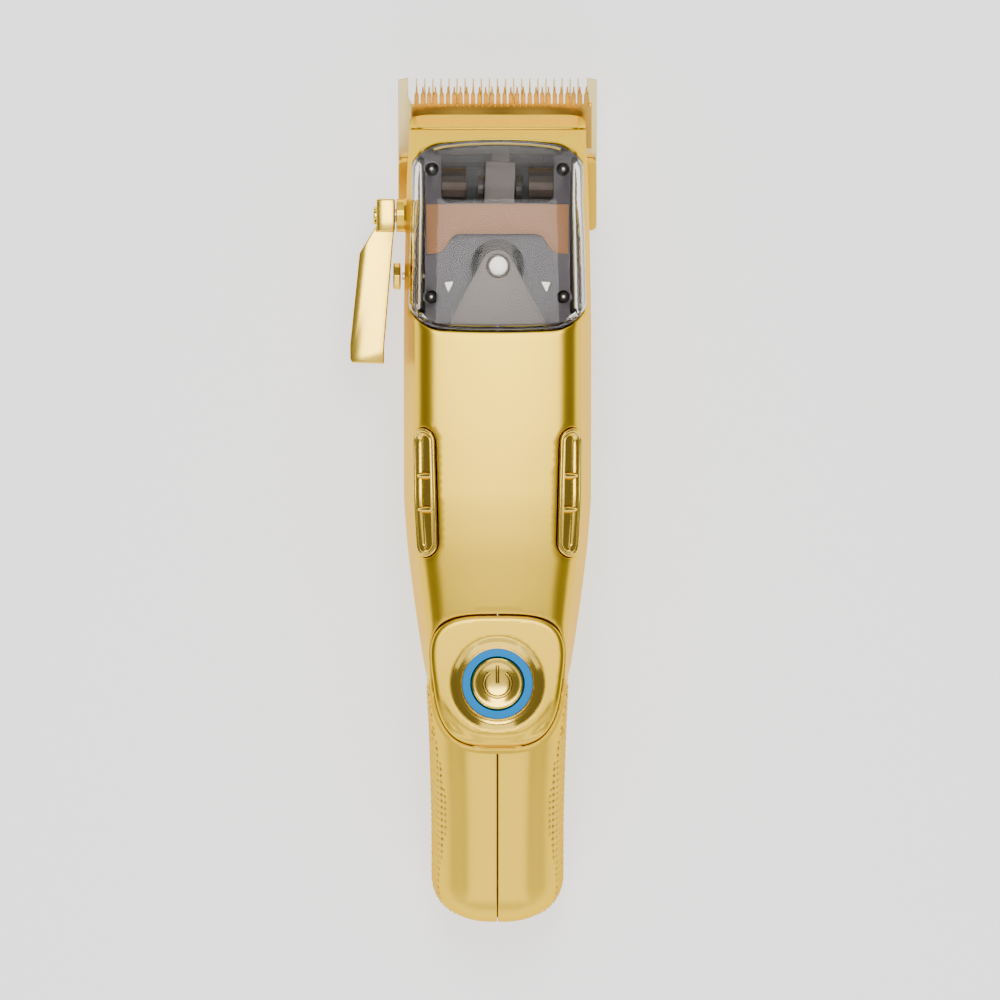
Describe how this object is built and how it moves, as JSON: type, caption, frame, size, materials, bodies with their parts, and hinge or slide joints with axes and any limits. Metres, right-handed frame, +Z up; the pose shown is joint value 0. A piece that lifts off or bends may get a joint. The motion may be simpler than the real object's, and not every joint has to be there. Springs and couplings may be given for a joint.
{
  "type": "hair clipper",
  "caption": "Cordless hair clipper with a curved gold casing, adjustable taper lever, smoked window over the motor and a round lit power button; cuts hair with a reciprocating toothed blade.",
  "frame": {"origin": "on the flat sole, directly under the pivot of the drive arm", "axes": "+Y towards the blade tips, +X to the right seen from above, +Z up through the window side"},
  "size_m": [0.0549, 0.1884, 0.047],
  "materials": {
    "satin_gold": "satin metallic gold lacquer",
    "polished_gold": "polished gold plating",
    "grip_gold": "gold with a fine knurled texture",
    "smoked_clear": "clear smoked plastic",
    "dark_plastic": "dark moulded plastic",
    "bronze": "fine-grained bronze paint",
    "blasted_steel": "bead-blasted steel",
    "steel": "ground steel",
    "blade_steel": "ground steel with a pale gold coating",
    "copper": "enamelled copper winding",
    "magnet": "nickel-plated magnet",
    "light_blue": "glowing blue diffuser",
    "board": "green circuit board",
    "cell": "shrink-sleeved cell"
  },
  "bodies": {
    "casing": {"top_cover": "satin_gold", "nose_cap": "satin_gold", "body_half_left": "satin_gold", "body_half_right": "satin_gold", "grip_panel_left": "grip_gold", "grip_panel_right": "grip_gold", "window_lid": "smoked_clear", "lid_screw_front_left": "steel", "lid_screw_front_right": "steel", "lid_screw_rear_left": "steel", "lid_screw_rear_right": "steel", "inner_cover": "dark_plastic", "bridge_plate": "bronze", "chip_plate": "blasted_steel", "pivot_cap": "steel", "side_trim_left": "polished_gold", "side_trim_right": "polished_gold", "side_insert_left": "polished_gold", "side_insert_right": "polished_gold", "button_pod": "satin_gold", "button_dish": "satin_gold", "led_ring": "light_blue", "switch_board": "board", "tact_switch": "dark_plastic", "battery_cell": "cell", "battery_cradle": "dark_plastic", "control_board": "board", "charge_board": "board", "charge_socket": "dark_plastic", "charge_contact_left": "polished_gold", "charge_contact_right": "polished_gold", "motor_frame": "steel", "core_left": "steel", "core_right": "steel", "coil_left": "copper", "coil_right": "copper", "pivot_pin": "steel", "tension_spring": "steel", "lever_bushing": "satin_gold"},
    "lever": {"lever_arm": "polished_gold", "lever_screw": "polished_gold", "lever_shaft": "steel"},
    "blade_set": {"blade_carriage": "satin_gold", "fixed_blade": "blade_steel", "blade_screw_left": "steel", "blade_screw_right": "steel"},
    "drive": {"drive_arm": "blasted_steel", "arm_magnet_left": "magnet", "arm_magnet_right": "magnet", "drive_pin": "steel"},
    "cutter": {"cutter_blade": "polished_gold", "cutter_guide": "dark_plastic"},
    "button": {"power_button": "polished_gold"},
    "plunger": {"switch_plunger": "dark_plastic"},
    "detent": {"detent_knob": "polished_gold", "detent_stud": "steel"}
  },
  "joints": [
    {"name": "taper_lever", "type": "hinge", "parent": "casing", "child": "lever", "pos_m": [0, 0.0114, 0.021], "axis": [1, 0, 0], "range_deg": [0, 32]},
    {"name": "taper_slide", "type": "slide", "parent": "casing", "child": "blade_set", "axis": [0, 0.9397, 0.342], "range_m": [0, 0.0017]},
    {"name": "arm_swing", "type": "hinge", "parent": "casing", "child": "drive", "pos_m": [0, 0, 0], "axis": [0, 0, 1], "range_deg": [-0.68, 4.17], "stiffness_Nm_per_rad": 0.05},
    {"name": "cutter_stroke", "type": "slide", "parent": "casing", "child": "cutter", "axis": [1, 0, 0], "range_m": [-0.00215, 0.00036]},
    {"name": "power_press", "type": "slide", "parent": "casing", "child": "button", "axis": [0, 0, -1], "range_m": [0, 0.0007], "stiffness_N_per_m": 300},
    {"name": "plunger_press", "type": "slide", "parent": "casing", "child": "plunger", "axis": [0, 0, -1], "range_m": [0, 0.0007], "stiffness_N_per_m": 100},
    {"name": "detent_turn", "type": "hinge", "parent": "casing", "child": "detent", "pos_m": [0, -0.0021, 0.022], "axis": [1, 0, 0], "range_deg": [-180, 180]}
  ],
  "couplings": [
    {"joint": "taper_slide", "follows": "taper_lever", "m_per_rad": 0.00303},
    {"joint": "cutter_stroke", "follows": "arm_swing", "m_per_rad": -0.0286},
    {"joint": "plunger_press", "follows": "power_press", "ratio": 1}
  ]
}
